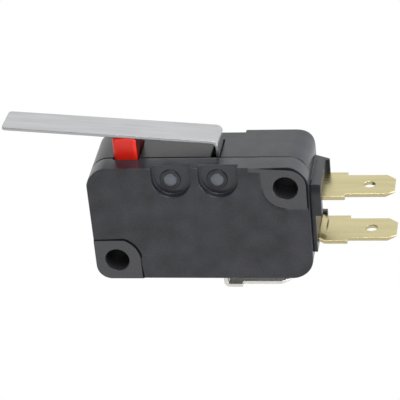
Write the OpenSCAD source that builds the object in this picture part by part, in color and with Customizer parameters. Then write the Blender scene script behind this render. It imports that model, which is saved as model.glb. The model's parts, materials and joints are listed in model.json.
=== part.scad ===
// Lever micro switch: snap-action changeover switch with a straight hinge lever.
// Origin: axis of the lower left mounting hole, in the plane of the front pads.
// +X runs towards the side terminals, +Y from the cover to the back, +Z up to the lever.

/* [Body] */
// Width of the housing, without lever and terminals
body_w = 27.8; // [25:0.1:31]
// Height of the housing, without plunger and lever
body_h = 15.9; // [15.5:0.1:17.5]
// Depth of the housing over its front and rear pads
body_d = 10.3; // [9.4:0.1:12]
// Corner radius at the top left
corner_tl = 2.5; // [2:0.1:2.8]
// Corner radius at the bottom left
corner_bl = 1.9; // [1.7:0.1:2.4]
// Corner radius at the bottom right
corner_br = 2.8; // [2:0.1:3]
// Corner radius at the top right
corner_tr = 2.5; // [2:0.1:2.8]
// Thickness of the left, right and bottom case walls
side_wall = 1.5; // [1.3:0.1:1.6]
// Thickness of the case's top wall
top_wall = 1.4; // [1.2:0.1:1.5]
// Depth of the cavity in front of the middle plane
cavity_front = 2.05; // [2.05:0.05:2.15]
// Depth of the cavity behind the middle plane
cavity_rear = 2.55; // [2.55:0.05:2.8]
// Bevel along the cover's top left edge
edge_bevel = 0.5; // [0.2:0.05:0.7]
// Width and depth of the groove where cover and case meet
seam_groove = 0.12; // [0.05:0.01:0.2]

/* [Mounting holes] */
// Diameter of both mounting holes
hole_d = 3.1; // [2.9:0.05:3.3]
// Distance from each hole to the side edge beside it
hole_edge_x = 2.8; // [2.6:0.1:3]
// Distance from each hole to the top or bottom edge beside it
hole_edge_z = 2.8; // [2.6:0.1:3]
// Radius of the raised pad round the lower hole
pad_r = 3.05; // [2.7:0.05:3.3]
// Height of that pad's flat upper side, over its hole
pad_top = 2.85; // [2.4:0.05:3.1]
// Radius of the raised pad round the upper hole
upper_pad_r = 2.75; // [2.4:0.05:3.1]
// Width of the sloped side of the upper pad
pad_ramp = 0.65; // [0.2:0.05:0.7]
// Height of the pads above the housing's faces
pad_raise = 0.65; // [0.3:0.05:0.8]
// Radius of the boss round each hole inside the case
boss_r = 2.2; // [2:0.05:2.3]
// Width of the upper rear pad
rear_pad_w = 8.7; // [7:0.1:10]

/* [Hinge pegs] */
// Distance from the lower hole to the lever's hinge peg
peg_x = 13.5; // [13.3:0.1:13.7]
// Distance of the pegs below the top of the housing
peg_drop = 2.5; // [2.4:0.05:2.6]
// Distance between the two peg positions
peg_pitch = 5.9; // [5.5:0.1:6.3]
// Diameter of a peg
peg_d = 1.8; // [1.6:0.1:1.9]
// Diameter of the staked head at the end of a peg
stake_d = 2.6; // [2.3:0.1:2.8]
// Thickness of the staked head's rim
stake_t = 0.18; // [0.1:0.02:0.25]
// Height of the rounded end on the staked head
stake_dome = 0.32; // [0.2:0.02:0.4]
// Half width and end radius of each pocket
pocket_r = 2.45; // [2.2:0.05:2.6]
// Depth of the pockets in the cover
pocket_depth = 1.35; // [1.1:0.05:1.5]
// Sideways distance from a peg to its pocket's centre
pocket_shift_x = 0.3; // [0:0.05:0.4]
// Upward distance from a peg to its pocket's centre
pocket_shift_z = 0.55; // [0.3:0.05:0.8]

/* [Plunger] */
// Distance from the lower hole to the plunger's middle
plunger_x = 2.03; // [1.8:0.05:2.3]
// Width of the plunger
plunger_w = 3.05; // [2.8:0.05:3.2]
// Depth of the plunger, front to back
plunger_d = 4.8; // [4.6:0.1:4.9]
// Height of the released plunger above the housing
plunger_stand = 2.8; // [2.6:0.1:3]
// Full travel of the plunger
plunger_travel = 2; // [1.7:0.1:2.1]
// Corner radius of the plunger
plunger_corner = 0.45; // [0.3:0.05:0.6]
// Radius of the plunger's crowned top
plunger_crown = 6; // [4:0.5:8]
// Width that the retaining flange adds on each side
flange_out = 0.7; // [0.5:0.1:0.9]
// Thickness of the retaining flange
flange_t = 1; // [0.8:0.1:1.1]
// Diameter of the rounded nose that presses the leaf
nose_d = 1.6; // [1.4:0.1:1.8]
// Depth of the nose, front to back
nose_depth = 2.4; // [2:0.1:2.8]

/* [Lever] */
// Thickness of the lever sheet
lever_t = 0.4; // [0.3:0.05:0.45]
// Width of the lever
lever_w = 4.5; // [4:0.1:4.8]
// Reach of the lever's tip, left of its hinge
lever_reach = 27; // [20:1:40]
// Slope of the released lever
lever_slope = 4.9; // [4:0.1:6]
// Inner bend radius where the leg turns down
lever_bend = 0.4; // [0.3:0.05:0.5]
// Corner radius of the lever's tip
lever_tip_r = 0.5; // [0.3:0.1:1]
// Width of metal round each hinge hole
ear_margin = 0.4; // [0.35:0.05:0.45]
// Offset of the leg's middle, right of the hinge
leg_offset = 0.1; // [0:0.05:0.15]

/* [Terminals] */
// Thickness of the terminal sheet
blade_t = 0.5; // [0.45:0.05:0.6]
// Width of a blade
blade_w = 4.75; // [4.5:0.05:4.8]
// Length of the narrow end of a blade
blade_l = 6.05; // [5.8:0.05:6.6]
// Diameter of the hole in a blade
blade_hole = 1.5; // [1.3:0.05:1.7]
// Distance from a blade's tip to its hole
blade_hole_in = 3.2; // [2.8:0.1:3.6]
// Length of the chamfers at a blade's tip
tip_cut_l = 1.1; // [0.8:0.1:1.5]
// Width of the chamfers at a blade's tip
tip_cut_w = 0.8; // [0.5:0.05:1]
// Height of the lead-in bevels at a blade's tip
tip_bevel = 0.14; // [0.08:0.02:0.2]
// Width of the wide root of a blade
root_w = 6.2; // [5.8:0.1:6.2]
// Length of the side terminals' wide root
root_l = 3.65; // [3.2:0.05:4.4]
// Length of the common terminal's wide root
com_root_l = 2.4; // [2:0.1:3]
// Width of the terminals inside the case
neck_w = 3.8; // [3.7:0.05:3.9]
// Height of the lower, normally open blade
no_z = 1.4; // [1.2:0.05:1.6]
// Step in the open terminal's root
no_step = 0.3; // [0.1:0.05:0.4]
// Place of the common terminal's leg
com_x = 13.1; // [12.8:0.1:13.8]
// Depth of the common blade below the housing
com_drop = 2.25; // [2:0.05:2.6]
// Inner bend radius of the terminals
terminal_bend = 0.3; // [0.25:0.05:0.4]
// Height of the common terminal's shelf
shelf_z = 0; // [-0.3:0.1:0.3]
// Place of the common terminal's post
post_x = 9; // [8.8:0.1:9.2]
// Depth of the post's fork below the leaf's pivot
fork_drop = 1.4; // [1.1:0.1:1.9]
// Height of the post above the arm's pivot
post_over = 0.6; // [0.5:0.05:0.7]

/* [Terminal shroud] */
// Thickness of the plate that the blades come out of
shroud_t = 0.55; // [0.3:0.05:0.6]
// Reach of the front barrier past the housing
front_barrier = 1.35; // [1:0.05:1.6]
// Reach of the rear barrier past the housing
rear_barrier = 1.9; // [1.5:0.1:2.4]
// Thickness of the front barrier
barrier_t = 0.8; // [0.6:0.05:0.9]
// Thickness of the rear barrier at its tip
barrier_tip = 0.35; // [0.3:0.05:0.8]
// Reach of both barriers below the upper blade
barrier_drop = 1.8; // [1:0.1:2.4]
// Height of the roof above the upper blade
roof_h = 1.85; // [1.5:0.05:2]
// Height of the sloped edge along the roof's front
roof_bevel = 1.4; // [0.8:0.1:1.6]
// Reach of the plate below the lower blade
plate_drop = 1; // [0.5:0.05:1.2]
// Reach of the rib behind the lower blade, past the housing
rib_reach = 1.2; // [0.8:0.1:1.4]

/* [Contacts] */
// Distance from the right edge to the contacts
contact_in = 5.8; // [5.7:0.1:6.1]
// Diameter of the contacts
contact_d = 1.8; // [1.6:0.1:2]
// Height of a fixed contact
contact_h = 0.7; // [0.6:0.05:0.8]
// Overall height of the moving contact
moving_h = 1.4; // [1.3:0.05:1.5]
// Gap between the moving and the open contact
contact_gap = 0.9; // [0.8:0.05:1]
// Radius of the contacts' crowned faces
contact_crown = 3; // [2.5:0.5:5]
// Diameter of the rivet shanks
shank_d = 0.9; // [0.7:0.05:1]

/* [Snap mechanism] */
// Thickness of the contact arm and of the actuating leaf
leaf_t = 0.25; // [0.2:0.05:0.3]
// Width of the opening that the spring runs through
spring_gap = 2; // [1.9:0.05:2.1]
// Slope of the actuating leaf's tab at rest
leaf_slope = 8.2; // [7.5:0.1:8.5]
// Height of the arm's pivot above the leaf's pivot
pivot_rise = 1.53; // [1.45:0.05:1.7]
// Height of the leaf's tab above its pivot
leaf_rise = 2.7; // [2.6:0.05:2.8]
// Length of the leaf's tab past the plunger's middle
tab_over = 1.2; // [1:0.1:1.4]
// Distance from the plunger's middle to the leaf's spring hole
hook_in = 1.1; // [1:0.05:1.2]
// Distance from the contacts to the arm's spring hole
hook_back = 2.6; // [2.4:0.1:2.8]
// Outer diameter of the spring
spring_d = 1.5; // [1.3:0.05:1.5]
// Wire diameter of the spring
wire_d = 0.22; // [0.18:0.02:0.26]
// Number of turns in the spring
spring_turns = 17; // [12:1:20]
// Length of straight wire at each end of the spring
spring_lead = 1.6; // [1.5:0.1:1.8]

/* [Fits] */
// Gap between the plunger and its guide
plunger_fit = 0.08; // [0.05:0.01:0.1]
// Gap between a peg and the lever's hinge hole
hinge_fit = 0.05; // [0.03:0.01:0.08]
// Gap between a peg and the cover's hole
cover_fit = 0.05; // [0.03:0.01:0.08]
// Gap between a terminal and its slot
slot_fit = 0.03; // [0.02:0.01:0.05]
// Gap between a rivet shank and its hole
rivet_fit = 0.02; // [0.01:0.01:0.04]
// Gap between a rolling pivot end and its groove
pivot_fit = 0.03; // [0.02:0.01:0.05]
// Gap between parts that touch when the switch rests
touch_gap = 0.03; // [0.02:0.01:0.05]
// Free room round moving parts inside the case
free_gap = 0.15; // [0.1:0.01:0.15]

/* [Hidden] */
$fn = 64;
over = 1;                                   // how far a cut runs past a face
x0 = -hole_edge_x;                          // edges of the housing
x1 = x0 + body_w;
z0 = -hole_edge_z;
z1 = z0 + body_h;
hole_pitch_x = body_w - 2 * hole_edge_x;    // distances between the two holes
hole_pitch_z = body_h - 2 * hole_edge_z;
mid_y = body_d / 2;                         // middle plane of the mechanism
face_y = pad_raise;                         // front face, between the pads
seam_y = mid_y - cavity_front;              // joint of cover and case
cavity_y = mid_y + cavity_rear;             // back of the cavity
back_y = body_d - pad_raise;                // rear face, between the pads
contact_x = x1 - contact_in;
pocket_y = face_y + pocket_depth;           // floor of the pockets
peg_z = z1 - peg_drop;
peg_xs = [peg_x - peg_pitch, peg_x];
ceiling_z = z1 - top_wall;                  // underside of the case's top wall
shroud_x = x1 + shroud_t;                   // face that the side blades leave
root_y0 = mid_y - root_w / 2;
root_y1 = mid_y + root_w / 2;
barrier_y = root_y0 - slot_fit;             // inner faces of the barriers
nc_top = hole_pitch_z - boss_r - free_gap;   // upper blade, just under the hole's boss
nc_z = nc_top - blade_t / 2;
no_root_z = no_z + no_step;
roof_z = nc_top + roof_h;
com_z = z0 - com_drop;                      // middle of the common blade
shelf_top = shelf_z + blade_t;
bend_r = terminal_bend + blade_t;           // outer radius of a terminal's bends

nc_face_z = nc_z - blade_t / 2 - contact_h;           // where the contacts meet
arm_z = nc_face_z - touch_gap - moving_h / 2;         // middle of the contact arm
no_face_z = arm_z - moving_h / 2 - contact_gap;
no_inner_z = no_face_z - contact_h - blade_t / 2;     // open terminal inside the case
arm_pivot = [post_x + blade_t + leaf_t / 5, arm_z];
leaf_pivot = [post_x - leaf_t / 5, arm_z - pivot_rise];
post_top = arm_z + post_over;
rail_w = (neck_w - spring_gap) / 2;                   // side rails of arm and leaf
hook_x = contact_x - hook_back;

leaf_arm = leaf_pivot[0] - plunger_x;                 // leaf pivot to plunger
tab_z = leaf_pivot[1] + leaf_rise / cos(leaf_slope) + leaf_arm * tan(leaf_slope);
nose_z = tab_z + touch_gap + (nose_d / 2) * (1 / cos(leaf_slope) - 1);
nose_axis_z = nose_z + nose_d / 2;
plunger_top = z1 + plunger_stand;
flange_top = ceiling_z - touch_gap;
flange_bottom = flange_top - flange_t;

hook_hole_d = 3.5 * wire_d;                           // spring holes of arm and leaf
leaf_reach = leaf_arm / cos(leaf_slope) + leaf_rise * tan(leaf_slope);
tab_mid_z = leaf_rise - leaf_t / 2;                   // tab over the pivot, with the tab level
leaf_hook = leaf_reach - hook_in - nose_d / 4;        // spring hole, along the leaf
leaf_knee = leaf_hook - spring_gap / 4 - leaf_t;      // bend of the leaf

leg_x = peg_x + leg_offset;                           // middle of the lever's leg
lever_arm = leg_x + lever_t / 2 - lever_bend - lever_t - plunger_x;
crown_lift = (plunger_crown + touch_gap) / cos(lever_slope) - plunger_crown;
lever_under = plunger_top + crown_lift;               // lever over the plunger
bend_x = leg_x + lever_t / 2 - lever_bend - lever_t;  // centre of the lever's bend
bend_z = lever_under - lever_arm * tan(lever_slope) - lever_bend / cos(lever_slope);
lever_run = (lever_reach - (peg_x - bend_x)) / cos(lever_slope);
ear_r = peg_d / 2 + hinge_fit + ear_margin;
leg_foot_z = peg_z + peg_d / 2 + hinge_fit + free_gap;

// Extrudes a front-view outline from y_front to y_back.
module slab(y_front, y_back)
    translate([0, y_back, 0]) rotate([90, 0, 0]) linear_extrude(y_back - y_front) children();

// Round bar or hole along the depth.
module bar(x, z, d, y_front, y_back)
    translate([x, y_back, z]) rotate([90, 0, 0]) cylinder(h = y_back - y_front, d = d);

// Front view of the housing, set in by a wall on each side.
module body_outline(side = 0, top = 0) {
    left = x0 + side;
    right = x1 - side;
    low = z0 + side;
    high = z1 - top;
    bl = corner_bl - side;
    br = corner_br - side;
    tr = corner_tr - top;
    tl = corner_tl - top;
    polygon([[left + bl, low], [right - br, low], [right, low + br], [right, high - tr],
             [right - tr, high], [left + tl, high], [left, high - tl], [left, low + bl]]);
    translate([left + bl, low + bl]) circle(r = bl);
    translate([right - br, low + br]) circle(r = br);
    translate([right - tr, high - tr]) circle(r = tr);
    translate([left + tl, high - tl]) circle(r = tl);
}

// Pad round the lower hole, cut square towards the housing's corner.
module lower_pad_outline()
    intersection() {
        body_outline();
        translate([x0, z0]) square([body_w, pad_top - z0]);
        union() {
            circle(r = pad_r);
            translate([x0, z0]) square([hole_edge_x, hole_edge_z + pad_r]);
            translate([x0, z0]) square([hole_edge_x + pad_r, hole_edge_z]);
        }
    }

// Front pad round the upper hole with sloped sides, and a lip along the top edge.
module upper_pad() {
    lip_l = 2.4;
    lip_h = 0.55;
    left = hole_pitch_x - upper_pad_r;
    low = hole_pitch_z - upper_pad_r;
    inner_y = face_y + over;
    intersection() {
        slab(0, inner_y) body_outline();
        union() {
            translate([hole_pitch_x, face_y, hole_pitch_z]) rotate([90, 0, 0])
                cylinder(h = face_y, r1 = upper_pad_r + pad_ramp, r2 = upper_pad_r);
            bar(hole_pitch_x, hole_pitch_z, 2 * (upper_pad_r + pad_ramp), face_y, inner_y);
            translate([0, 0, hole_pitch_z]) linear_extrude(body_h)
                polygon([[left, 0], [x1, 0], [x1, inner_y], [left - pad_ramp, inner_y],
                         [left - pad_ramp, face_y]]);
            translate([hole_pitch_x, 0, 0]) rotate([90, 0, 90]) linear_extrude(body_w)
                polygon([[0, low], [0, z1], [inner_y, z1], [inner_y, low - pad_ramp],
                         [face_y, low - pad_ramp]]);
            slab(0, inner_y) translate([left - lip_l + pad_ramp, z1 - lip_h]) square([lip_l, lip_h]);
        }
    }
}

module rear_upper_pad_outline()
    intersection() {
        body_outline();
        translate([x1 - rear_pad_w, hole_pitch_z - pad_r]) square([rear_pad_w, z1]);
    }

module mounting_holes(y_front, y_back) {
    bar(0, 0, hole_d, y_front, y_back);
    bar(hole_pitch_x, hole_pitch_z, hole_d, y_front, y_back);
}

// Front view of the lever's slot and the round chamber for its ears.
module hinge_room_outline() {
    swing_room = 0.65;
    translate([peg_x, peg_z]) circle(r = ear_r + free_gap);
    translate([leg_x - lever_t / 2 - swing_room, peg_z])
        square([lever_t + swing_room + free_gap, z1 - peg_z + over]);
}

// Guide for the plunger, seen from above.
module plunger_guide(y_front, z_low)
    translate([plunger_x - plunger_w / 2 - plunger_fit, y_front, z_low])
        cube([plunger_w + 2 * plunger_fit, mid_y + plunger_d / 2 + plunger_fit - y_front,
              z1 - z_low + over]);

// ---- Housing ----

// Plate, barriers and roof round the side terminals.
module terminal_shroud() {
    front_y = barrier_y - barrier_t;
    rear_y = body_d - barrier_y;
    low_z = no_root_z - blade_t / 2 - plate_drop;
    barrier_z = nc_z - blade_t / 2 - barrier_drop;
    intersection() {
        union() {
            translate([0, 0, low_z]) linear_extrude(roof_z - low_z)
                polygon([[x1 - side_wall, seam_y], [x1, seam_y], [x1, front_y],
                         [shroud_x, front_y], [shroud_x, rear_y + barrier_t], [x1, back_y],
                         [x1 - side_wall, back_y]]);
            difference() {
                translate([0, 0, barrier_z]) linear_extrude(roof_z - barrier_z)
                    polygon([[x1, front_y], [x1 + front_barrier, front_y],
                             [x1 + front_barrier, rear_y], [x1 + rear_barrier, rear_y],
                             [x1 + rear_barrier, rear_y + barrier_tip], [x1, back_y]]);
                translate([shroud_x, barrier_y, barrier_z - over])
                    cube([rear_barrier, rear_y - barrier_y, nc_top + slot_fit - barrier_z + over]);
            }
            translate([x1, rear_y, low_z])
                cube([rib_reach, barrier_t, no_root_z + blade_t - low_z]);
        }
        translate([x1 - side_wall, 0, 0]) rotate([90, 0, 90]) linear_extrude(body_w)
            polygon([[front_y, low_z], [front_y, roof_z - roof_bevel], [barrier_y, roof_z],
                     [back_y, roof_z], [back_y, low_z]]);
    }
}

// Slot in the right wall for a side terminal's neck.
module side_slot(z)
    translate([x1 - side_wall - over, mid_y - neck_w / 2 - slot_fit, z - blade_t / 2 - slot_fit])
        cube([side_wall + shroud_t + 2 * over, neck_w + 2 * slot_fit, blade_t + 2 * slot_fit]);

module staked_peg(x) {
    bar(x, peg_z, peg_d, pocket_y, cavity_y + side_wall / 2);
    bar(x, peg_z, stake_d, pocket_y - stake_t, pocket_y);
    intersection() {
        bar(x, peg_z, peg_d, pocket_y - stake_t - stake_dome, pocket_y);
        translate([x, pocket_y - stake_t - stake_dome + peg_d, peg_z]) sphere(r = peg_d);
    }
}

module case() color("#2b2d31")
    difference() {
        union() {
            difference() {
                union() {
                    slab(seam_y, back_y) body_outline();
                    slab(back_y - over, body_d) lower_pad_outline();
                    slab(back_y - over, body_d) rear_upper_pad_outline();
                }
                slab(seam_y - over, cavity_y) body_outline(side_wall, top_wall);
                slab(seam_y - over, cavity_y) hinge_room_outline();
                plunger_guide(seam_y - over, ceiling_z - over);
            }
            bar(0, 0, 2 * boss_r, seam_y, cavity_y + side_wall / 2);
            bar(hole_pitch_x, hole_pitch_z, 2 * boss_r, seam_y, cavity_y + side_wall / 2);
            for (x = peg_xs) staked_peg(x);
            com_seat();
            terminal_shroud();
        }
        mounting_holes(-over, body_d + over);
        side_slot(nc_z);
        side_slot(no_root_z);
        translate([com_x - slot_fit, mid_y - neck_w / 2 - slot_fit, z0 - over])
            cube([blade_t + 2 * slot_fit, neck_w + 2 * slot_fit, side_wall + 2 * over]);
    }

// Rib on the case floor that the common terminal's shelf rests on.
module com_seat() {
    rib_x = post_x + bend_r;
    translate([rib_x, seam_y, z0 + side_wall / 2])
        cube([com_x - rib_x - terminal_bend, cavity_y - seam_y + side_wall / 2,
              shelf_z - z0 - side_wall / 2]);
}

module cover() color("#34363a")
    difference() {
        union() {
            slab(face_y, seam_y - seam_groove) body_outline();
            slab(face_y, seam_y) body_outline(seam_groove, seam_groove);
            slab(0, face_y + over) lower_pad_outline();
            upper_pad();
        }
        mounting_holes(-over, seam_y + over);
        for (x = peg_xs) {
            bar(x, peg_z, peg_d + 2 * cover_fit, face_y, seam_y + over);
            slab(face_y - over, pocket_y) pocket_outline(x);
        }
        plunger_guide(mid_y - plunger_d / 2 - plunger_fit,
                      flange_bottom - plunger_travel - free_gap);
        corner_bevel();
    }

// Cut for the bevel from the lower pad, round the top left corner, to the first pocket.
module corner_bevel() {
    corner_x = x0 + corner_tl;
    corner_z = z1 - corner_tl;
    pocket_x = peg_xs[0] + pocket_shift_x - pocket_r;
    translate([corner_x, face_y, z1 - edge_bevel]) rotate([45, 0, 0])
        cube([pocket_x - corner_x + pocket_r, 2 * edge_bevel, edge_bevel]);
    translate([0, 0, pad_top]) linear_extrude(corner_z - pad_top)
        polygon([[x0 - over, face_y - over], [x0 + edge_bevel, face_y - over],
                 [x0 + edge_bevel, face_y], [x0, face_y + edge_bevel],
                 [x0 - over, face_y + edge_bevel]]);
    difference() {
        translate([x0 - over, face_y - over, corner_z])
            cube([corner_tl + over, edge_bevel + over, corner_tl + over]);
        translate([corner_x, face_y + edge_bevel, corner_z]) rotate([90, 0, 0])
            cylinder(h = edge_bevel + over, r1 = corner_tl, r2 = corner_tl - edge_bevel - over);
    }
}

// U-shaped pocket, open at the top of the cover.
module pocket_outline(x) {
    translate([x + pocket_shift_x, peg_z + pocket_shift_z]) circle(r = pocket_r);
    translate([x + pocket_shift_x - pocket_r, peg_z + pocket_shift_z])
        square([2 * pocket_r, z1 - peg_z]);
}

// ---- Plunger ----

module plunger_section()
    union() {
        square([plunger_w - 2 * plunger_corner, plunger_d], center = true);
        square([plunger_w, plunger_d - 2 * plunger_corner], center = true);
        for (x = [-1, 1], y = [-1, 1])
            translate([x * (plunger_w / 2 - plunger_corner), y * (plunger_d / 2 - plunger_corner)])
                circle(r = plunger_corner);
    }

module plunger() color("#cc2f1a") {
    flange_y = seam_y + free_gap;
    intersection() {
        translate([plunger_x, mid_y, flange_bottom])
            linear_extrude(plunger_top + over - flange_bottom) plunger_section();
        bar(plunger_x, plunger_top - plunger_crown, 2 * plunger_crown, 0, body_d);
    }
    translate([plunger_x - plunger_w / 2 - flange_out, flange_y, flange_bottom])
        cube([plunger_w + 2 * flange_out, cavity_y - free_gap - flange_y, flange_t]);
    translate([plunger_x - nose_d / 2, mid_y - nose_depth / 2, nose_axis_z])
        cube([nose_d, nose_depth, flange_bottom - nose_axis_z + flange_t / 2]);
    bar(plunger_x, nose_axis_z, nose_d, mid_y - nose_depth / 2, mid_y + nose_depth / 2);
}

// ---- Lever ----

// Plate and bend, seen from above along the plate, with rounded tip corners.
module lever_plan() {
    translate([-lever_run + lever_tip_r, -lever_w / 2])
        square([lever_run - lever_tip_r + lever_bend + 2 * lever_t, lever_w]);
    translate([-lever_run, lever_tip_r - lever_w / 2])
        square([lever_tip_r, lever_w - 2 * lever_tip_r]);
    for (side = [-1, 1])
        translate([-lever_run + lever_tip_r, side * (lever_w / 2 - lever_tip_r)])
            circle(r = lever_tip_r);
}

// Front view of plate and leg, filled back to the bend's axis, with the given bend radius.
module lever_fold(r, run, leg) {
    circle(r = r);
    rotate(-lever_slope) translate([-run, 0]) square([run, r]);
    translate([0, -leg]) square([r, leg]);
}

module lever() color("#c8c9c8") {
    leg_y0 = mid_y - neck_w / 2;
    leg_y1 = mid_y + neck_w / 2;
    leg = bend_z - leg_foot_z;
    translate([bend_x, 0, bend_z])
        intersection() {
            slab(mid_y - lever_w / 2, mid_y + lever_w / 2)
                difference() {
                    lever_fold(lever_bend + lever_t, lever_run, leg);
                    lever_fold(lever_bend, lever_run + over, leg + over);
                }
            union() {
                translate([0, mid_y, 0]) rotate([0, lever_slope, 0])
                    linear_extrude(lever_bend + 2 * lever_t) lever_plan();
                translate([0, leg_y0, -leg - over])
                    cube([lever_bend + 2 * lever_t, neck_w, leg + over]);
            }
        }
    difference() {
        union() {
            for (y = [leg_y0, leg_y1 - lever_t]) {
                slab(y, y + lever_t) {
                    translate([peg_x, peg_z]) circle(r = ear_r);
                    translate([leg_x - lever_t / 2, peg_z])
                        square([lever_t, leg_foot_z + lever_t - peg_z]);
                }
            }
        }
        bar(peg_x, peg_z, peg_d + 2 * hinge_fit, seam_y, cavity_y);
    }
}

// ---- Terminals ----

// Blade end that points along +X from the origin, centred on its sheet.
module blade_end()
    difference() {
        intersection() {
            translate([0, 0, -blade_t / 2]) linear_extrude(blade_t)
                polygon([[-over, -blade_w / 2], [blade_l - tip_cut_l, -blade_w / 2],
                         [blade_l, tip_cut_w - blade_w / 2], [blade_l, blade_w / 2 - tip_cut_w],
                         [blade_l - tip_cut_l, blade_w / 2], [-over, blade_w / 2]]);
            slab(-blade_w, blade_w)
                polygon([[-over, -blade_t / 2], [blade_l - tip_cut_l, -blade_t / 2],
                         [blade_l, tip_bevel - blade_t / 2], [blade_l, blade_t / 2 - tip_bevel],
                         [blade_l - tip_cut_l, blade_t / 2], [-over, blade_t / 2]]);
        }
        translate([blade_l - blade_hole_in, 0, -blade_t])
            cylinder(h = 2 * blade_t, d = blade_hole);
    }

// Quarter ring of a sheet's bend, centred on the bend's axis.
module bend_outline(right, up)
    intersection() {
        difference() {
            circle(r = bend_r);
            circle(r = terminal_bend);
        }
        translate([right ? 0 : -bend_r, up ? 0 : -bend_r]) square(bend_r);
    }

module nc_terminal() color("#cdb98c") {
    inner_x = contact_x - contact_d;
    difference() {
        translate([inner_x, mid_y - neck_w / 2, nc_z - blade_t / 2])
            cube([shroud_x - inner_x, neck_w, blade_t]);
        translate([contact_x, mid_y, nc_z - blade_t])
            cylinder(h = 2 * blade_t, d = shank_d + 2 * rivet_fit);
    }
    translate([shroud_x, root_y0, nc_z - blade_t / 2]) cube([root_l, root_w, blade_t]);
    translate([shroud_x + root_l, mid_y, nc_z]) blade_end();
}

// Open terminal: its strip rises behind the wall to bring its contact near the arm.
module no_terminal() color("#cdb98c") {
    inner_x = contact_x - contact_d;
    rise_x = contact_x + contact_d;
    wall_x = x1 - side_wall - free_gap;
    half = blade_t / 2;
    step_x = shroud_x + blade_t / 2;
    difference() {
        slab(mid_y - neck_w / 2, mid_y + neck_w / 2)
            polygon([[inner_x, no_inner_z - half], [rise_x, no_inner_z - half],
                     [wall_x - half, no_root_z - half], [shroud_x, no_root_z - half],
                     [shroud_x, no_root_z + half], [wall_x, no_root_z + half],
                     [rise_x + half, no_inner_z + half], [inner_x, no_inner_z + half]]);
        translate([contact_x, mid_y, no_inner_z - blade_t])
            cylinder(h = 2 * blade_t, d = shank_d + 2 * rivet_fit);
    }
    slab(root_y0, root_y1)
        polygon([[shroud_x, no_root_z - half], [step_x, no_root_z - half],
                 [step_x + blade_t, no_z - half], [shroud_x + root_l, no_z - half],
                 [shroud_x + root_l, no_z + half], [step_x + blade_t, no_z + half],
                 [step_x, no_root_z + half], [shroud_x, no_root_z + half]]);
    translate([shroud_x + root_l, mid_y, no_z]) blade_end();
}

// Front view of the common terminal: blade, leg, shelf and post in one strip.
module com_outline() {
    low = com_z - blade_t / 2;
    right = com_x + blade_t;
    translate([com_x + bend_r, low]) square([com_root_l - bend_r, blade_t]);
    translate([com_x + bend_r, low + bend_r]) bend_outline(false, false);
    translate([com_x, low + bend_r]) square([blade_t, shelf_top - low - 2 * bend_r]);
    translate([right - bend_r, shelf_top - bend_r]) bend_outline(true, true);
    translate([post_x + bend_r, shelf_z]) square([right - post_x - 2 * bend_r, blade_t]);
    translate([post_x + bend_r, shelf_z + bend_r]) bend_outline(false, false);
    translate([post_x, shelf_z + bend_r]) square([blade_t, post_top - shelf_z - bend_r]);
}

module com_terminal() color("#cfc9b8") {
    fork_z = leaf_pivot[1] - fork_drop;
    difference() {
        union() {
            intersection() {
                slab(root_y0, root_y1) com_outline();
                translate([x0, 0, com_z - blade_t]) cube([body_w, body_d, z0 - com_z + blade_t]);
            }
            intersection() {
                slab(mid_y - neck_w / 2, mid_y + neck_w / 2) com_outline();
                translate([x0, 0, z0 - over]) cube([body_w, body_d, body_h]);
            }
        }
        translate([post_x - over, mid_y - spring_gap / 2, fork_z])
            cube([blade_t + 2 * over, spring_gap, body_h]);
        bar(arm_pivot[0], arm_pivot[1], leaf_t + 2 * pivot_fit, seam_y, cavity_y);
        bar(leaf_pivot[0], leaf_pivot[1], leaf_t + 2 * pivot_fit, seam_y, cavity_y);
    }
    translate([com_x + com_root_l, mid_y, com_z]) blade_end();
}

// ---- Contacts ----

// Crowned contact head that stands on the origin, facing +Z.
module contact_head(height)
    intersection() {
        cylinder(h = height, d = contact_d);
        translate([0, 0, height - contact_crown]) sphere(r = contact_crown);
    }

// Riveted contact on a terminal strip: head, shank and upset end.
module fixed_contact() {
    upset = 0.15;
    translate([0, 0, blade_t / 2]) contact_head(contact_h);
    translate([0, 0, -blade_t / 2 - upset]) cylinder(h = blade_t + upset + contact_h / 2, d = shank_d);
    translate([0, 0, -blade_t / 2 - upset]) cylinder(h = upset, d = shank_d + 4 * upset);
}

module nc_contact() color("#dcdcda")
    translate([contact_x, mid_y, nc_z]) rotate([180, 0, 0]) fixed_contact();

module no_contact() color("#dcdcda")
    translate([contact_x, mid_y, no_inner_z]) fixed_contact();

module moving_contact() color("#dcdcda")
    translate([contact_x, mid_y, arm_z]) {
        head_h = moving_h / 2 - leaf_t / 2;
        translate([0, 0, leaf_t / 2]) contact_head(head_h);
        rotate([180, 0, 0]) translate([0, 0, leaf_t / 2]) contact_head(head_h);
        cylinder(h = moving_h / 2, d = shank_d, center = true);
    }

// ---- Snap mechanism ----

// Flat arm with a window for the spring; its two rails roll in the post's grooves.
module contact_arm() color("#b9794c") {
    pad_x = hook_x - spring_gap / 4;
    length = contact_x + contact_d / 2 + leaf_t - arm_pivot[0];
    difference() {
        union() {
            translate([arm_pivot[0], mid_y - neck_w / 2, arm_z - leaf_t / 2])
                cube([length, neck_w, leaf_t]);
            bar(arm_pivot[0], arm_pivot[1], leaf_t, mid_y - neck_w / 2, mid_y + neck_w / 2);
        }
        translate([arm_pivot[0] - over, mid_y - spring_gap / 2, arm_z - leaf_t])
            cube([pad_x - arm_pivot[0] + over, spring_gap, 2 * leaf_t]);
        translate([contact_x, mid_y, arm_z - leaf_t])
            cylinder(h = 2 * leaf_t, d = shank_d + 2 * rivet_fit);
        translate([hook_x, mid_y, arm_z - leaf_t]) cylinder(h = 2 * leaf_t, d = hook_hole_d);
    }
}

// Places a point of the leaf, given from its pivot with the tab level, at rest.
function leaf_point(p) = [leaf_pivot[0] + p[0] * cos(leaf_slope) + p[1] * sin(leaf_slope),
                          leaf_pivot[1] - p[0] * sin(leaf_slope) + p[1] * cos(leaf_slope)];

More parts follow.
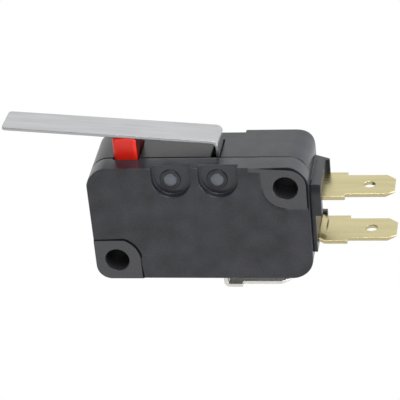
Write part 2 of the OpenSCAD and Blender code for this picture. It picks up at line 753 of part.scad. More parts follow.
// Straight piece of sheet between two points of a front view, with rounded ends.
module strip(a, b, t) {
    d = b - a;
    translate(a) rotate(atan2(d[1], d[0])) translate([0, -t / 2]) square([norm(d), t]);
    for (p = [a, b]) translate(p) circle(d = t);
}

module actuating_leaf() color("#b9794c") {
    difference() {
        translate([leaf_pivot[0], 0, leaf_pivot[1]]) rotate([0, leaf_slope, 0])
            slab(mid_y - neck_w / 2, mid_y + neck_w / 2) {
                strip([0, 0], [-leaf_knee, tab_mid_z], leaf_t);
                strip([-leaf_knee, tab_mid_z], [-leaf_reach - tab_over, tab_mid_z], leaf_t);
            }
        translate([leaf_pivot[0], 0, leaf_pivot[1]]) rotate([0, leaf_slope, 0]) {
            translate([-leaf_knee, mid_y - spring_gap / 2, -over])
                cube([leaf_knee + over, spring_gap, leaf_rise + 2 * over]);
            translate([-leaf_hook, mid_y, tab_mid_z - leaf_t])
                cylinder(h = 2 * leaf_t, d = hook_hole_d);
        }
    }
}

// The spring's straight line, a little above both hook holes.
hook_lift = wire_d + leaf_t / 2;
spring_a = leaf_point([-leaf_hook, tab_mid_z + hook_lift]);
spring_b = [hook_x, arm_z + hook_lift];
spring_vec = spring_b - spring_a;
spring_len = norm(spring_vec);
spring_dir = spring_vec / spring_len;
coil_r = (spring_d - wire_d) / 2;
coil_len = spring_len - 2 * spring_lead;
turn_steps = 10;
wire_sides = 6;

// Point at s along the line, r out from it at angle a.
function spring_point(s, r, a) = [
    spring_a[0] + spring_dir[0] * s - spring_dir[1] * r * sin(a),
    mid_y + r * cos(a),
    spring_a[1] + spring_dir[1] * s + spring_dir[0] * r * sin(a)];

// Wire route: hook, lead, coil, lead, hook.
wire_path = concat(
    [spring_point(0, -2 * hook_lift, 90), spring_point(0, -hook_lift / 2, 90),
     spring_point(wire_d / 2, 0, 90), spring_point(spring_lead - coil_r, 0, 90)],
    [for (i = [0 : spring_turns * turn_steps])
        spring_point(spring_lead + coil_len * i / (spring_turns * turn_steps),
                     coil_r, 90 + 360 * i / turn_steps)],
    [spring_point(spring_len - spring_lead + coil_r, 0, 90),
     spring_point(spring_len - wire_d / 2, 0, 90),
     spring_point(spring_len, -hook_lift / 2, 90), spring_point(spring_len, -2 * hook_lift, 90)]);

function unit(v) = v / norm(v);
function tangent(p, i) = unit(p[min(i + 1, len(p) - 1)] - p[max(i - 1, 0)]);
function across(n, t) = unit(n - (n * t) * t);

// Closed tube of even thickness along a path; the section turns as little as it can.
module wire(path, d, sides) {
    last = len(path) - 1;
    normals = [for (i = 0, n = across([0, 1, 0], tangent(path, 0)); i <= last;
                    i = i + 1, n = i <= last ? across(n, tangent(path, i)) : n) n];
    points = [for (i = [0 : last]) for (k = [0 : sides - 1])
        let (t = tangent(path, i), n = normals[i], b = cross(t, n), a = 360 * k / sides)
        path[i] + d / 2 * (cos(a) * n + sin(a) * b)];
    polyhedron(points, concat(
        [[for (k = [0 : sides - 1]) k]],
        [for (i = [0 : last - 1]) for (k = [0 : sides - 1])
            let (m = (k + 1) % sides)
            [i * sides + k, (i + 1) * sides + k, (i + 1) * sides + m, i * sides + m]],
        [[for (k = [0 : sides - 1]) last * sides + sides - 1 - k]]));
}

module snap_spring() color("#b9bcc0") wire(wire_path, wire_d, wire_sides);

case();
cover();
plunger();
lever();
com_terminal();
nc_terminal();
no_terminal();
nc_contact();
no_contact();
moving_contact();
contact_arm();
actuating_leaf();
snap_spring();
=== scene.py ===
import json
import math

import bmesh
import bpy
from mathutils import Matrix, Vector

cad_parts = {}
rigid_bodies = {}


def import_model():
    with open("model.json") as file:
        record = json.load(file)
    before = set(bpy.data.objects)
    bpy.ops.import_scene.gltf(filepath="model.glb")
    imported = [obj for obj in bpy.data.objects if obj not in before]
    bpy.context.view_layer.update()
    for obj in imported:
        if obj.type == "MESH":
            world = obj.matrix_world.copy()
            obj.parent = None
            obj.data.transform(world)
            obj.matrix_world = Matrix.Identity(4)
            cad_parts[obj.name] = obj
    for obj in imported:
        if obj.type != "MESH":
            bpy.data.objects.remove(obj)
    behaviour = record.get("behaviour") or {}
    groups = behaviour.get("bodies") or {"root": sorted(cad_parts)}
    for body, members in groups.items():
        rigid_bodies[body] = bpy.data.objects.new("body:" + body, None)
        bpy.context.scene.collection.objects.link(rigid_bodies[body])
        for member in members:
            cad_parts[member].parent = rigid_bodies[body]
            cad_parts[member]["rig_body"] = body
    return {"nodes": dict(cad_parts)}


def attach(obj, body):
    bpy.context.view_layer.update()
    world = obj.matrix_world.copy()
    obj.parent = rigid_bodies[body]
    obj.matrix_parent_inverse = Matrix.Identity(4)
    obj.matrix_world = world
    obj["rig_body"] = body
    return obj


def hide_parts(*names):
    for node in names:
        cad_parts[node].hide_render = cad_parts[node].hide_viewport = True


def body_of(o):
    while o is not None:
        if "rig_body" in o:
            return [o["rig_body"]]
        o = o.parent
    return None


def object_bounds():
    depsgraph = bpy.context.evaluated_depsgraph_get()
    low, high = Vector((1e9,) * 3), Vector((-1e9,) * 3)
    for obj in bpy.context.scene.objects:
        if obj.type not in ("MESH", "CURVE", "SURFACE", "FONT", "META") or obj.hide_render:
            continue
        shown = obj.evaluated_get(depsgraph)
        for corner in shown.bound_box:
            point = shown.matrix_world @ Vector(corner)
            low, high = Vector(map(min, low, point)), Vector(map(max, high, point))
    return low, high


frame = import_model()
cad_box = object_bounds()

# ---- Case ----
# The deep half of the housing, with the mounting bosses, the pegs and the terminal block.
# It is injection moulded in black thermoplastic, with the fine grain of a spark-eroded
# mould, and its pegs pass through the cover and are staked over to hold the halves shut.

MM = 0.001
WELD, FLAT = 0.002, math.radians(0.5)  # what counts as one point, mm, and as one face
SHARP, CREASED = math.radians(35), math.radians(50)  # edges to break, edges to keep crisp


def finished(node, bevel, reshape=None):
    """Copy of a CAD piece with its edges broken, smooth shaded, in place of the plain one."""
    source = frame["nodes"][node]
    mesh = source.data.copy()
    mesh.name = node + "_finished"
    mesh.materials.clear()
    bm = bmesh.new()
    bm.from_mesh(mesh)
    bmesh.ops.remove_doubles(bm, verts=bm.verts, dist=WELD * MM)
    bmesh.ops.dissolve_limit(bm, angle_limit=FLAT, verts=bm.verts, edges=bm.edges)
    if reshape:
        reshape(bm)
    if bevel:
        sharp = [e for e in bm.edges if len(e.link_faces) == 2 and e.calc_face_angle(0) > SHARP]
        break_edges(bm, sharp, bevel, 2)
    low, high = cad_box
    for vert in bm.verts:
        vert.co = [min(max(vert.co[i], low[i]), high[i]) for i in range(3)]
    for face in bm.faces:
        face.smooth = True
    for edge in bm.edges:
        edge.smooth = edge.calc_face_angle(0) < CREASED
    bm.to_mesh(mesh)
    bm.free()
    piece = bpy.data.objects.new(node + "_finished", mesh)
    bpy.context.scene.collection.objects.link(piece)
    weighted = piece.modifiers.new("weighted", "WEIGHTED_NORMAL")
    weighted.keep_sharp = True
    weighted.weight = 50
    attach(piece, body_of(source)[0])
    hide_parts(node)
    return piece


def break_edges(bm, edges, width, segments):
    """Bevel of a width in mm along some edges. Returns its faces."""
    made = bmesh.ops.bevel(
        bm,
        geom=edges,
        offset=width * MM,
        offset_type="OFFSET",
        affect="EDGES",
        segments=segments,
        profile=0.5,
        material=-1,
        clamp_overlap=False,
    )
    return made["faces"]


def wear(obj, *materials):
    """Materials put on a piece in the order of its faces' numbers."""
    for material in materials:
        obj.data.materials.append(material)


def tree_of(name):
    """New material with an empty tree, its Principled BSDF and its output joined."""
    material = bpy.data.materials.new(name)
    material.use_nodes = True
    nodes = material.node_tree.nodes
    nodes.clear()
    out = nodes.new("ShaderNodeOutputMaterial")
    shader = nodes.new("ShaderNodeBsdfPrincipled")
    join(material.node_tree, (shader.outputs["BSDF"], out.inputs["Surface"]))
    return material, material.node_tree, shader


def add(tree, kind, values=(), **settings):
    """Node of a kind, with its settings and the plain values on its sockets."""
    node = tree.nodes.new(kind)
    for key, value in settings.items():
        setattr(node, key, value)
    for key, value in dict(values).items():
        node.inputs[key].default_value = value
    return node


def join(tree, *pairs):
    """Links from an output to an input, in pairs."""
    for source, target in pairs:
        tree.links.new(source, target)


def group(name, inputs, outputs):
    """Empty shader node group with named sockets."""
    tree = bpy.data.node_groups.new(name, "ShaderNodeTree")
    for label, kind, value in inputs:
        socket = tree.interface.new_socket(label, in_out="INPUT", socket_type=kind)
        socket.default_value = value
    for label, kind in outputs:
        tree.interface.new_socket(label, in_out="OUTPUT", socket_type=kind)
    return tree, tree.nodes.new("NodeGroupInput"), tree.nodes.new("NodeGroupOutput")


# Edge mask: how much the surface turns within a small radius, for the light and shade painted
# along an edge.
edge_tree, edge_in, edge_out = group(
    "edge_mask",
    [("Radius", "NodeSocketFloat", 0.2 * MM), ("Gain", "NodeSocketFloat", 3.0)],
    [("Mask", "NodeSocketFloat"), ("Normal", "NodeSocketVector")],
)
rounded = add(edge_tree, "ShaderNodeBevel", samples=6)
plain = add(edge_tree, "ShaderNodeNewGeometry")
turn = add(edge_tree, "ShaderNodeVectorMath", operation="DOT_PRODUCT")
lack = add(edge_tree, "ShaderNodeMath", {0: 1.0}, operation="SUBTRACT")
gain = add(edge_tree, "ShaderNodeMath", operation="MULTIPLY", use_clamp=True)
join(
    edge_tree,
    (edge_in.outputs["Radius"], rounded.inputs["Radius"]),
    (rounded.outputs["Normal"], turn.inputs[0]),
    (plain.outputs["Normal"], turn.inputs[1]),
    (turn.outputs["Value"], lack.inputs[1]),
    (lack.outputs["Value"], gain.inputs[0]),
    (edge_in.outputs["Gain"], gain.inputs[1]),
    (gain.outputs["Value"], edge_out.inputs["Mask"]),
    (rounded.outputs["Normal"], edge_out.inputs["Normal"]),
)

# Grain: fine and broad noise, stretched along an axis, as two masks and a bumped normal.
grain_tree, grain_in, grain_out = group(
    "grain",
    [
        ("Scale", "NodeSocketVector", (1.0, 1.0, 1.0)),
        ("Depth", "NodeSocketFloat", 0.1),
        ("Broad Scale", "NodeSocketFloat", 0.12),
        ("Normal", "NodeSocketVector", (0.0, 0.0, 0.0)),
    ],
    [("Fine", "NodeSocketFloat"), ("Broad", "NodeSocketFloat"), ("Normal", "NodeSocketVector")],
)
place = add(grain_tree, "ShaderNodeTexCoord")
stretch = add(grain_tree, "ShaderNodeVectorMath", operation="MULTIPLY")
fine = add(grain_tree, "ShaderNodeTexNoise", {"Scale": 1.0, "Detail": 3.0, "Roughness": 0.6})
broad = add(grain_tree, "ShaderNodeTexNoise", {"Detail": 2.0, "Roughness": 0.5})
bump = add(grain_tree, "ShaderNodeBump", {"Distance": 0.02 * MM})
join(
    grain_tree,
    (place.outputs["Object"], stretch.inputs[0]),
    (grain_in.outputs["Scale"], stretch.inputs[1]),
    (stretch.outputs["Vector"], fine.inputs["Vector"]),
    (stretch.outputs["Vector"], broad.inputs["Vector"]),
    (grain_in.outputs["Broad Scale"], broad.inputs["Scale"]),
    (fine.outputs["Fac"], bump.inputs["Height"]),
    (grain_in.outputs["Depth"], bump.inputs["Strength"]),
    (grain_in.outputs["Normal"], bump.inputs["Normal"]),
    (fine.outputs["Fac"], grain_out.inputs["Fine"]),
    (broad.outputs["Fac"], grain_out.inputs["Broad"]),
    (bump.outputs["Normal"], grain_out.inputs["Normal"]),
)

# Spot: soft-edged ellipsoid in the piece's own frame, as a mask.
spot_tree, spot_in, spot_out = group(
    "spot",
    [
        ("Centre", "NodeSocketVector", (0.0, 0.0, 0.0)),
        ("Size", "NodeSocketVector", (1.0, 1.0, 1.0)),
        ("Soft", "NodeSocketFloat", 0.05),
    ],
    [("Mask", "NodeSocketFloat")],
)
spot_place = add(spot_tree, "ShaderNodeTexCoord")
offset = add(spot_tree, "ShaderNodeVectorMath", operation="SUBTRACT")
share = add(spot_tree, "ShaderNodeVectorMath", operation="DIVIDE")
reach = add(spot_tree, "ShaderNodeVectorMath", operation="LENGTH")
inner = add(spot_tree, "ShaderNodeMath", {0: 1.0}, operation="SUBTRACT")
fall = add(spot_tree, "ShaderNodeMapRange", {"From Max": 1.0, "To Min": 1.0, "To Max": 0.0})
join(
    spot_tree,
    (spot_place.outputs["Object"], offset.inputs[0]),
    (spot_in.outputs["Centre"], offset.inputs[1]),
    (offset.outputs["Vector"], share.inputs[0]),
    (spot_in.outputs["Size"], share.inputs[1]),
    (share.outputs["Vector"], reach.inputs[0]),
    (reach.outputs["Value"], fall.inputs["Value"]),
    (spot_in.outputs["Soft"], inner.inputs[1]),
    (inner.outputs["Value"], fall.inputs["From Min"]),
    (fall.outputs["Result"], spot_out.inputs["Mask"]),
)

NOISE_RANGE = {"From Min": 0.3, "From Max": 0.7}  # where nearly all of the noise lies


def blend(tree, mask, under, over):
    """Colour output that lays a plain colour over another output where a mask is 1."""
    mix = add(tree, "ShaderNodeMix", data_type="RGBA")
    mix.inputs["B"].default_value = (*over, 1.0)
    join(tree, (mask, mix.inputs["Factor"]), (under, mix.inputs["A"]))
    return mix.outputs["Result"]


def surface(
    name, dark, light, edge, rough, spread, grain, depth,
    broad=0.12, metal=0.0, specular=0.5, spots=(),
):
    """Material between two colours, with light and shade painted along its edges, grain and
    sheen.

    The grain is in noise cells per metre along X, Y and Z. Each spot is a centre and
    a size in mm, a softness, a colour, and a roughness or None.
    """
    material, tree, shader = tree_of(name)
    shader.inputs["Metallic"].default_value = metal
    shader.inputs["Specular IOR Level"].default_value = specular
    edges = add(tree, "ShaderNodeGroup", node_tree=edge_tree)
    grown = add(tree, "ShaderNodeGroup", node_tree=grain_tree)
    grown.inputs["Scale"].default_value = grain
    grown.inputs["Depth"].default_value = depth
    grown.inputs["Broad Scale"].default_value = broad
    shades = add(tree, "ShaderNodeMapRange", NOISE_RANGE)
    tint = add(tree, "ShaderNodeMix", data_type="RGBA")
    tint.inputs["A"].default_value = (*dark, 1.0)
    tint.inputs["B"].default_value = (*light, 1.0)
    gloss = add(tree, "ShaderNodeMapRange", NOISE_RANGE)
    gloss.inputs["To Min"].default_value = rough - spread
    gloss.inputs["To Max"].default_value = rough + spread
    join(
        tree,
        (edges.outputs["Normal"], grown.inputs["Normal"]),
        (grown.outputs["Broad"], shades.inputs["Value"]),
        (shades.outputs["Result"], tint.inputs["Factor"]),
        (grown.outputs["Fine"], gloss.inputs["Value"]),
        (grown.outputs["Normal"], shader.inputs["Normal"]),
    )
    colour = blend(tree, edges.outputs["Mask"], tint.outputs["Result"], edge)
    polish = gloss.outputs["Result"]
    for centre, size, soft, paint, matt in spots:
        spot = add(tree, "ShaderNodeGroup", node_tree=spot_tree)
        spot.inputs["Centre"].default_value = Vector(centre) * MM
        spot.inputs["Size"].default_value = Vector(size) * MM
        spot.inputs["Soft"].default_value = soft
        colour = blend(tree, spot.outputs["Mask"], colour, paint)
        if matt is not None:
            dull = add(tree, "ShaderNodeMix", {"B": matt}, data_type="FLOAT")
            join(tree, (spot.outputs["Mask"], dull.inputs["Factor"]), (polish, dull.inputs["A"]))
            polish = dull.outputs["Result"]
    join(tree, (colour, shader.inputs["Base Color"]), (polish, shader.inputs["Roughness"]))
    return material


LEFT, RIGHT, TOP = -2.8, 25.0, 13.1  # outer faces of the housing, mm
DEPTH = 10.3
CORNER = 2.5  # radius of the housing's top corners
CORNER_BAND = (-0.2, 0.03)  # how far inside and outside that radius a wall may lie
CORNER_TAPER = (-0.16, 0.20)  # how far the top corners stand out at the front and rear
HOLES = ((0.0, 0.0), (22.2, 10.3))
BORE = 1.58  # radius of a mounting hole and a little of its mouth
PEG_X, PEG_Z = (7.6, 13.5), TOP - 2.5
PEG_REACH = 1.5
STAKE_LIFT = (0.18, -0.90, 0.51)  # from the solid's peg heads to where they show
POCKET_FLOOR = 2.0
SLACK = 0.03  # how near a vertex has to be to lie on a face or an outline


def taper_corners(bm):
    """Top corners made a little fuller toward the rear, as they leave the mould."""
    front, rear = CORNER_TAPER
    inside, outside = CORNER_BAND
    for vert in bm.verts:
        x, y, z = (c / MM for c in vert.co)
        for side, centre in ((-1, LEFT + CORNER), (1, RIGHT - CORNER)):
            dx, dz = side * (x - centre), z - (TOP - CORNER)
            reach = math.hypot(dx, dz)
            if dx >= 0 and dz >= 0 and inside < reach - CORNER < outside:
                bulge = (front + (rear - front) * y / DEPTH) * (2 * dx * dz / reach**2) ** 2
                vert.co.x += side * bulge * dx / reach * MM
                vert.co.z += bulge * dz / reach * MM


def lift_stakes(bm):
    """Heads of the pegs, or the mouths of their holes, brought forward to the pocket floor."""
    for vert in bm.verts:
        x, y, z = (c / MM for c in vert.co)
        near = min(math.hypot(x - peg, z - PEG_Z) for peg in PEG_X)
        if y < POCKET_FLOOR + SLACK and near < PEG_REACH:
            vert.co += Vector(STAKE_LIFT) * MM


def shape_case(bm):
    lift_stakes(bm)
    taper_corners(bm)


MOULD_GRAIN = (9000.0, 9000.0, 9000.0)
SHADOW, SEAM_SHADE, STAKE_LIGHT = (0.003, 0.003, 0.004), (0.002, 0.002, 0.002), (0.104, 0.112, 0.130)
MATT = 0.95
BORES = [((x, 5.0, z), (BORE, 90.0, BORE), 0.03, SHADOW, MATT) for x, z in HOLES]
# Painted shade on the seam's left part, where the lever's shadow falls across the top.
SHADED_SEAM = [((5.0, 3.08, TOP), (12.5, 0.16, 9.0), 0.4, SEAM_SHADE, MATT)]
# Painted highlight: the staked peg heads are painted a pale bluish grey, as their domes catch
# the light.
LIT_STAKES = [
    ((x + STAKE_LIFT[0], 0.8, PEG_Z + STAKE_LIFT[2]), (1.0, 0.9, 1.0), 0.25, STAKE_LIGHT, None)
    for x in PEG_X
]
case_plastic = surface(
    "case_plastic",
    dark=(0.008, 0.009, 0.013), light=(0.019, 0.020, 0.026), edge=(0.024, 0.026, 0.030),
    rough=0.30, spread=0.05, grain=MOULD_GRAIN, depth=0.2, broad=0.05,
    spots=BORES + SHADED_SEAM + LIT_STAKES,
)
wear(finished("case", 0.08, reshape=shape_case), case_plastic)

# ---- Cover ----
# The flat half of the housing, which closes the mechanism in. It is moulded in the same
# plastic, a shade lighter and smoother on its face, with a raised pad round each hole, and
# it sits on the case's pegs, whose staked heads lie in its two round-bottomed pockets.

SOLID_FACE = 0.65  # front face of the solid, behind its pads, mm
FACE = 0.15  # where the face shows
FLOOR = POCKET_FLOOR + STAKE_LIFT[1]  # where the pockets' floors show
EDGE = 0.5  # bevel round the solid's face
POCKET_R = 2.45
POCKETS = [(peg + 0.3, PEG_Z + 0.55) for peg in PEG_X]  # middles of their round ends
POCKET_SHIFT = (0.1, 0.3)
FACET = math.radians(7.5)  # step between the points of the outline's corners
PAD_R, PAD_TOP = 3.05, 2.85  # outline of the lower pad
GROOVE = 0.25  # width of the groove at that pad's foot
UPPER_PAD = 19.0  # left of the upper pad
RIM = 0.26  # chamfer on the upper pad's outer edge


def on_outline(x, z, inset=0.0):
    """Whether a point lies on the housing's outline, or a distance inside it."""
    for side, centre in ((-1, LEFT + CORNER), (1, RIGHT - CORNER)):
        dx, dz = side * (x - centre), z - (TOP - CORNER)
        if dx > 0 and dz > 0:
            return abs(math.hypot(dx, dz) - CORNER + inset) < SLACK
    return min(abs(x - LEFT - inset), abs(RIGHT - inset - x), abs(TOP - inset - z)) < SLACK


def unfold_bevel(x, y, z, inset):
    """Point of the face's bevel moved out onto the housing's outline."""
    dx, dz = x - LEFT - CORNER, z - TOP + CORNER
    if dx < 0 and dz > 0:
        angle = round(math.atan2(dz, -dx) / FACET) * FACET
        x = LEFT + CORNER - CORNER * math.cos(angle)
        z = TOP - CORNER + CORNER * math.sin(angle)
    elif dz > 0 and TOP - inset - z < SLACK:
        z = TOP
    else:
        x = LEFT
    return x, FACE + (y - SOLID_FACE) * (SOLID_FACE + EDGE - FACE) / EDGE, z


def spread_foot(x, z):
    """Foot of the lower pad's wall moved outward, so that the wall becomes a groove."""
    if x < PAD_R and abs(z - PAD_TOP) < SLACK:
        return x, z + GROOVE
    if z < 0 and abs(x - PAD_R) < SLACK:
        return x + GROOVE, z
    if x > 0 and z > 0 and abs(math.hypot(x, z) - PAD_R) < SLACK:
        return x * (1 + GROOVE / PAD_R), z * (1 + GROOVE / PAD_R)
    return x, z


def in_pocket_wall(x, y, z):
    """Whether a point lies on the wall of a pocket."""
    away = min(math.hypot(x - px, min(z - pz, 0.0)) - POCKET_R for px, pz in POCKETS)
    return SOLID_FACE - EDGE < y < POCKET_FLOOR + SLACK and abs(away) < SLACK


def cover_point(x, y, z):
    """Where a point of the solid cover goes on the finished one."""
    inset = EDGE - (y - SOLID_FACE)
    sloped = -SLACK < inset < EDGE + SLACK and x < POCKETS[0][0] and on_outline(x, z, inset)
    if sloped:
        x, y, z = unfold_bevel(x, y, z, inset)
    if in_pocket_wall(x, y, z):
        x += POCKET_SHIFT[0]
        z += POCKET_SHIFT[1] if z < TOP - 2 * SLACK else 0.0
        if not sloped:
            y = FACE + (y - SOLID_FACE) * (FLOOR - FACE) / (POCKET_FLOOR - SOLID_FACE)
    if abs(y - SOLID_FACE) < SLACK:
        x, z = spread_foot(x, z)
        y = FACE
    return x, y, z


def outline_edges(bm, wanted):
    """Edges whose ends lie on the housing's outline and pass a test on their place."""
    return [
        edge
        for edge in bm.edges
        if all(on_outline(v.co.x / MM, v.co.z / MM) and wanted(v.co / MM) for v in edge.verts)
    ]


def shape_cover(bm):
    """Face nearly flush with its pads, shallower pockets, and a square edge at the top left."""
    lift_stakes(bm)
    for vert in bm.verts:
        vert.co = Vector(cover_point(*(c / MM for c in vert.co))) * MM
    bmesh.ops.remove_doubles(bm, verts=bm.verts, dist=0.01 * MM)
    bmesh.ops.dissolve_degenerate(bm, dist=0.005 * MM, edges=bm.edges)
    unfolded = outline_edges(
        bm,
        lambda p: p.x < POCKETS[0][0]
        and p.z > PAD_TOP
        and FACE + SLACK < p.y < SOLID_FACE + EDGE + SLACK,
    )
    rings = [e for e in unfolded if abs(e.verts[0].co.y - e.verts[1].co.y) < 0.01 * MM]
    bmesh.ops.dissolve_edges(bm, edges=rings, use_verts=True, use_face_split=False)
    corner = ((LEFT + CORNER) * MM, (TOP - CORNER) * MM)
    folded = [
        v for v in bm.verts
        if len(v.link_edges) == 2 and v.co.x < corner[0] and v.co.z > corner[1]
    ]
    bmesh.ops.dissolve_verts(bm, verts=folded)
    bmesh.ops.dissolve_limit(bm, angle_limit=2 * FLAT, verts=bm.verts, edges=bm.edges)
    lip = outline_edges(bm, lambda p: p.y < SLACK and p.x > UPPER_PAD)
    # The chamfer on the upper pad's edge and the groove at the lower pad's foot take the second
    # material: painted shade in the gaps round the pads.
    dark = break_edges(bm, lip, RIM, 1)
    for face in bm.faces:
        middle = face.calc_center_median() / MM
        near_pad = middle.x < PAD_R + GROOVE and middle.z < PAD_TOP + GROOVE
        if near_pad and 0.01 < middle.y < FACE - 0.01:
            dark.append(face)
    for face in dark:
        face.material_index = 1
    taper_corners(bm)


PAD_GREY, FLOOR_LIGHT = (0.050, 0.051, 0.057), (0.028, 0.029, 0.037)
# The pads are painted a lighter grey than the face round them.
PADS = [((10.0, -1.0, 5.0), (200.0, 1.08, 200.0), 0.05, PAD_GREY, None)]
# Painted light: the pocket floors are painted an even, lighter grey.
FLOORS = [((x, FLOOR, z), (2.9, 0.12, 3.2), 0.2, FLOOR_LIGHT, None) for x, z in POCKETS]
cover_plastic = surface(
    "cover_plastic",
    dark=(0.010, 0.011, 0.015), light=(0.028, 0.029, 0.037), edge=(0.026, 0.028, 0.034),
    rough=0.28, spread=0.05, grain=MOULD_GRAIN, depth=0.15, broad=0.04,
    spots=PADS + FLOORS + SHADED_SEAM + BORES,
)
# Near-black with little sheen: painted shade in the gaps round the pads.
gap_shade_plastic = surface(
    "gap_shade_plastic",
    dark=(0.004, 0.004, 0.005), light=(0.006, 0.006, 0.007), edge=(0.006, 0.006, 0.007),
    rough=0.55, spread=0.05, grain=MOULD_GRAIN, depth=0.15, specular=0.05,
)
wear(finished("cover", 0.1, reshape=shape_cover), cover_plastic, gap_shade_plastic)

# ---- Plunger ----
# The button between the lever and the mechanism. It is moulded in glossy red plastic,
# slides in the housing's top, and is kept in by a flange on its lower end. Its right
# side is painted a deeper red with less sheen, as shade.

RIGHT_SIDE = 3.5  # faces beyond this X are the button's right side, mm
BUTTON_GRAIN = (4000.0, 4000.0, 4000.0)


# The right side's faces take the second material, a painted shade.
def mark_side(bm):
    for face in bm.faces:
        if face.calc_center_median().x > RIGHT_SIDE * MM:
            face.material_index = 1


plunger_plastic = surface(
    "plunger_plastic",
    dark=(0.68, 0.010, 0.001), light=(0.74, 0.014, 0.003), edge=(0.62, 0.06, 0.03),
    rough=0.34, spread=0.04, grain=BUTTON_GRAIN, depth=0.05,
)
# Painted shade on the button's right side: a deeper red with less sheen.
shaded_side_plastic = surface(
    "shaded_side_plastic",
    dark=(0.115, 0.004, 0.002), light=(0.125, 0.005, 0.002), edge=(0.13, 0.006, 0.003),
    rough=0.34, spread=0.04, grain=BUTTON_GRAIN, depth=0.05, specular=0.1,
)
plunger = finished("plunger", 0.1, reshape=mark_side)
wear(plunger, plunger_plastic, shaded_side_plastic)

# ---- Lever ----
# The straight lever that presses the plunger. It is stainless sheet, blanked and bent,
# with the rolling lines along its length, and its two ears hook into the housing.

lever_steel = surface(
    "lever_steel",
    dark=(0.415, 0.418, 0.425), light=(0.475, 0.478, 0.485), edge=(0.36, 0.362, 0.368),
    rough=0.34, spread=0.06, grain=(600.0, 14000.0, 14000.0), depth=0.15, metal=1.0,
)
wear(finished("lever", 0.05), lever_steel)

# ---- Side terminals ----
# The two quick-connect tabs on the right, the normally closed one above. They are pale
# brass sheet, blanked with a hole and chamfered tips, and held between case and cover.
# The lower one is bent at its root, with two dark lines painted there as reflections
# in the bend and a darker olive patch painted in front of them.

ROLLED = (800.0, 12000.0, 12000.0)  # grain of rolled sheet
# Painted reflection: two dark lines in the bend at the lower tab's root, and a darker olive
# patch at its front.
BEND_REFLECTION, ROOT_PATCH = (0.10, 0.065, 0.02), (0.24, 0.19, 0.07)
ROOT = [((x, 6.0, 1.6), (0.15, 1.9, 1.5), 0.6, BEND_REFLECTION, None) for x in (25.5, 26.4)]
ROOT += [((26.1, 2.9, 1.6), (0.6, 0.8, 1.5), 0.5, ROOT_PATCH, None)]
terminal_brass = surface(
    "terminal_brass",
    dark=(0.48, 0.42, 0.225), light=(0.54, 0.485, 0.28), edge=(0.64, 0.58, 0.38),
    rough=0.30, spread=0.06, grain=ROLLED, depth=0.12, metal=1.0, spots=ROOT,
)
for node in ("nc_terminal", "no_terminal"):
    wear(finished(node, 0.04), terminal_brass)

# ---- Common terminal ----
# The tab under the housing, bent from the same sheet. It is given a paler, greyer brass
# than the side tabs, and its inner end carries the post on which the leaf and the arm pivot.

common_brass = surface(
    "common_brass",
    dark=(0.70, 0.69, 0.65), light=(0.78, 0.77, 0.73), edge=(0.86, 0.82, 0.70),
    rough=0.46, spread=0.05, grain=ROLLED, depth=0.12, metal=1.0,
)
wear(finished("com_terminal", 0.04), common_brass)

# ---- Contacts ----
# The two fixed contacts and the double one between them. They are silver alloy rivets,
# turned and slightly dull, set in the side terminals and in the arm's tip.

contact_silver = surface(
    "contact_silver",
    dark=(0.62, 0.62, 0.60), light=(0.72, 0.72, 0.70), edge=(0.80, 0.80, 0.78),
    rough=0.32, spread=0.06, grain=(3000.0, 3000.0, 3000.0), depth=0.1, metal=1.0,
)
for node in ("nc_contact", "no_contact", "moving_contact"):
    wear(finished(node, 0.0), contact_silver)

# ---- Arm and leaf ----
# The contact arm and the leaf that the plunger presses. Both are blanked from thin
# rolled bronze strip and rest in two grooves of the common terminal's post.

leaf_bronze = surface(
    "leaf_bronze",
    dark=(0.42, 0.22, 0.09), light=(0.52, 0.29, 0.13), edge=(0.62, 0.38, 0.20),
    rough=0.3, spread=0.05, grain=(900.0, 9000.0, 9000.0), depth=0.1, metal=1.0,
)
for node in ("contact_arm", "actuating_leaf"):
    wear(finished(node, 0.02), leaf_bronze)

# ---- Spring ----
# The tension spring that snaps the arm over. It is coiled from drawn steel wire, and
# its ends hook into the windows of the leaf and the arm.

spring_steel = surface(
    "spring_steel",
    dark=(0.40, 0.40, 0.41), light=(0.50, 0.50, 0.51), edge=(0.60, 0.60, 0.60),
    rough=0.28, spread=0.05, grain=BUTTON_GRAIN, depth=0.08, metal=1.0,
)
wear(finished("snap_spring", 0.0), spring_steel)

# ---- Stage ----
# A plain pale floor under the switch and a plain surround, both white to the camera.
# The surround is dim in front and brighter behind and overhead, as soft boxes are.

FLOOR_Z, FLOOR_HALF = -8.5, 1500.0  # mm
FRONT_LIGHT, BACK_LIGHT, TOP_LIGHT = 0.25, 1.2, 1.0
FRONT_TO_BACK = {"From Min": -0.35, "From Max": 0.35}  # heights on a unit sphere
LEVEL_TO_TOP = {"From Min": 0.5, "From Max": 0.9}

floor_mesh = bpy.data.meshes.new("floor")
bm = bmesh.new()
bmesh.ops.create_grid(bm, x_segments=1, y_segments=1, size=FLOOR_HALF * MM)
bm.to_mesh(floor_mesh)
bm.free()
floor_mesh.transform(Matrix.Translation((0.0, 0.0, FLOOR_Z * MM)))
floor = bpy.data.objects.new("floor", floor_mesh)
bpy.context.scene.collection.objects.link(floor)
floor_paint, floor_tree, floor_shader = tree_of("floor_paint")
floor_shader.inputs["Base Color"].default_value = (0.8, 0.8, 0.8, 1.0)
floor_shader.inputs["Roughness"].default_value = 0.9
glow = add(floor_tree, "ShaderNodeEmission", {"Strength": 1.0})
pick = add(floor_tree, "ShaderNodeMixShader")
path = add(floor_tree, "ShaderNodeLightPath")
seen = add(floor_tree, "ShaderNodeMath", operation="MAXIMUM")
floor_out = next(n for n in floor_tree.nodes if n.type == "OUTPUT_MATERIAL")
join(
    floor_tree,
    (path.outputs["Is Camera Ray"], seen.inputs[0]),
    (path.outputs["Is Glossy Ray"], seen.inputs[1]),
    (seen.outputs["Value"], pick.inputs["Fac"]),
    (floor_shader.outputs["BSDF"], pick.inputs[1]),
    (glow.outputs["Emission"], pick.inputs[2]),
    (pick.outputs["Shader"], floor_out.inputs["Surface"]),
)
wear(floor, floor_paint)

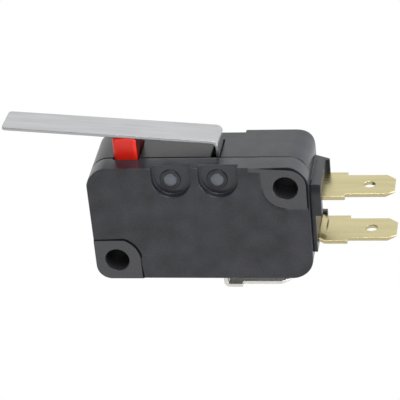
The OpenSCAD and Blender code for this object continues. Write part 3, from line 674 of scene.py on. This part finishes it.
world = bpy.data.worlds.new("studio")
bpy.context.scene.world = world
world.use_nodes = True
studio = world.node_tree
backdrop = studio.nodes["Background"]
backdrop.inputs["Color"].default_value = (1.0, 1.0, 1.0, 1.0)
heading = add(studio, "ShaderNodeTexCoord")
apart = add(studio, "ShaderNodeSeparateXYZ")
behind = add(studio, "ShaderNodeMapRange", FRONT_TO_BACK)
behind.inputs["To Min"].default_value = FRONT_LIGHT
behind.inputs["To Max"].default_value = BACK_LIGHT
above = add(studio, "ShaderNodeMapRange", LEVEL_TO_TOP)
above.inputs["To Max"].default_value = TOP_LIGHT
either = add(studio, "ShaderNodeMath", operation="MAXIMUM")
camera_sees = add(studio, "ShaderNodeLightPath")
level = add(studio, "ShaderNodeMix", {"B": 1.0}, data_type="FLOAT")
join(
    studio,
    (heading.outputs["Generated"], apart.inputs["Vector"]),
    (apart.outputs["Y"], behind.inputs["Value"]),
    (apart.outputs["Z"], above.inputs["Value"]),
    (behind.outputs["Result"], either.inputs[0]),
    (above.outputs["Result"], either.inputs[1]),
    (either.outputs["Value"], level.inputs["A"]),
    (camera_sees.outputs["Is Camera Ray"], level.inputs["Factor"]),
    (level.outputs["Result"], backdrop.inputs["Strength"]),
)


def soft_box(name, place_mm, power, aim_mm=(10, 5, 6), size_mm=120):
    """Square lamp aimed at a point."""
    data = bpy.data.lights.new(name, "AREA")
    data.size = size_mm * MM
    data.energy = power
    lamp = bpy.data.objects.new(name, data)
    spot = Vector(place_mm) * MM
    facing = (Vector(aim_mm) * MM - spot).to_track_quat("-Z", "Y")
    lamp.matrix_world = Matrix.Translation(spot) @ facing.to_matrix().to_4x4()
    bpy.context.scene.collection.objects.link(lamp)


soft_box("key", (60, -60, 170), 0.25)
soft_box("side", (210, -10, 30), 0.35, aim_mm=(20, 5, 6))

# ---- Camera ----
# Three-quarter view from the front, a little to the right and above, with a long lens
# and a slight roll.

AZIMUTH, ELEVATION, ROLL = (math.radians(a) for a in (11.348, 29.385, -5.883))
TARGET = Vector((10.462, 5.0, 5.875)) * MM
DISTANCE = 239.64 * MM
LENS = 169.93  # for a sensor 36 mm wide

ground = math.cos(ELEVATION)  # share of the view that runs along the ground
backward = Vector(
    (math.sin(AZIMUTH) * ground, -math.cos(AZIMUTH) * ground, math.sin(ELEVATION))
)
right = Vector((0, 0, 1)).cross(backward).normalized()
up = backward.cross(right)
cam_x = math.cos(ROLL) * right + math.sin(ROLL) * up
cam_y = -math.sin(ROLL) * right + math.cos(ROLL) * up
turned = Matrix((cam_x, cam_y, backward)).transposed().to_4x4()
camera_data = bpy.data.cameras.new("camera")
camera_data.sensor_width = 36.0
camera_data.lens = LENS
camera_data.clip_start = 0.01
camera = bpy.data.objects.new("camera", camera_data)
camera.matrix_world = Matrix.Translation(TARGET + DISTANCE * backward) @ turned
bpy.context.scene.collection.objects.link(camera)
bpy.context.scene.camera = camera
bpy.context.scene.view_settings.view_transform = "Standard"
